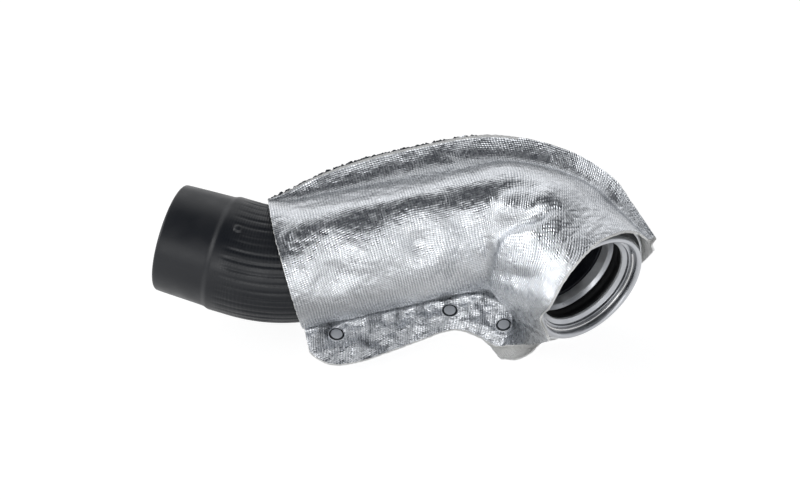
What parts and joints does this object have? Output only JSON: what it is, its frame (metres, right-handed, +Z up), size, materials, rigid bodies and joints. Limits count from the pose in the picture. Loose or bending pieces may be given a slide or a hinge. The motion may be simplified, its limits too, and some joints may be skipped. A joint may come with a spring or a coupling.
{
  "type": "turbo hose",
  "caption": "Bent rubber charge-air hose with a plain cuff, a metal quick-coupling socket and a riveted foil-cloth heat shield.",
  "frame": {"origin": "middle of the part's bounding box, on the floor it lies on", "axes": "+X along the hose's straight middle run from the cuff towards the elbow, +Z up from the floor, the coupling's mouth towards -Y"},
  "size_m": [0.2642, 0.1486, 0.085],
  "materials": {
    "hose_rubber": "satin moulded rubber with wrapped-cloth marks",
    "seal_rubber": "smooth moulded rubber",
    "socket_aluminium": "turned and polished",
    "crimp_aluminium": "satin, pressed",
    "spring_steel": "drawn wire",
    "foil_cloth": "aluminium foil bonded on woven glass cloth",
    "rivet_aluminium": "pressed"
  },
  "bodies": {
    "root": {"rubber_hose": "hose_rubber", "coupling_socket": "socket_aluminium", "seal_ring": "seal_rubber", "retaining_wire": "spring_steel", "crimp_ring": "crimp_aluminium", "front_shield_panel": "foil_cloth", "rear_shield_panel": "foil_cloth", "shield_rivets": "rivet_aluminium", "rivet_washers": "rivet_aluminium"}
  },
  "joints": []
}
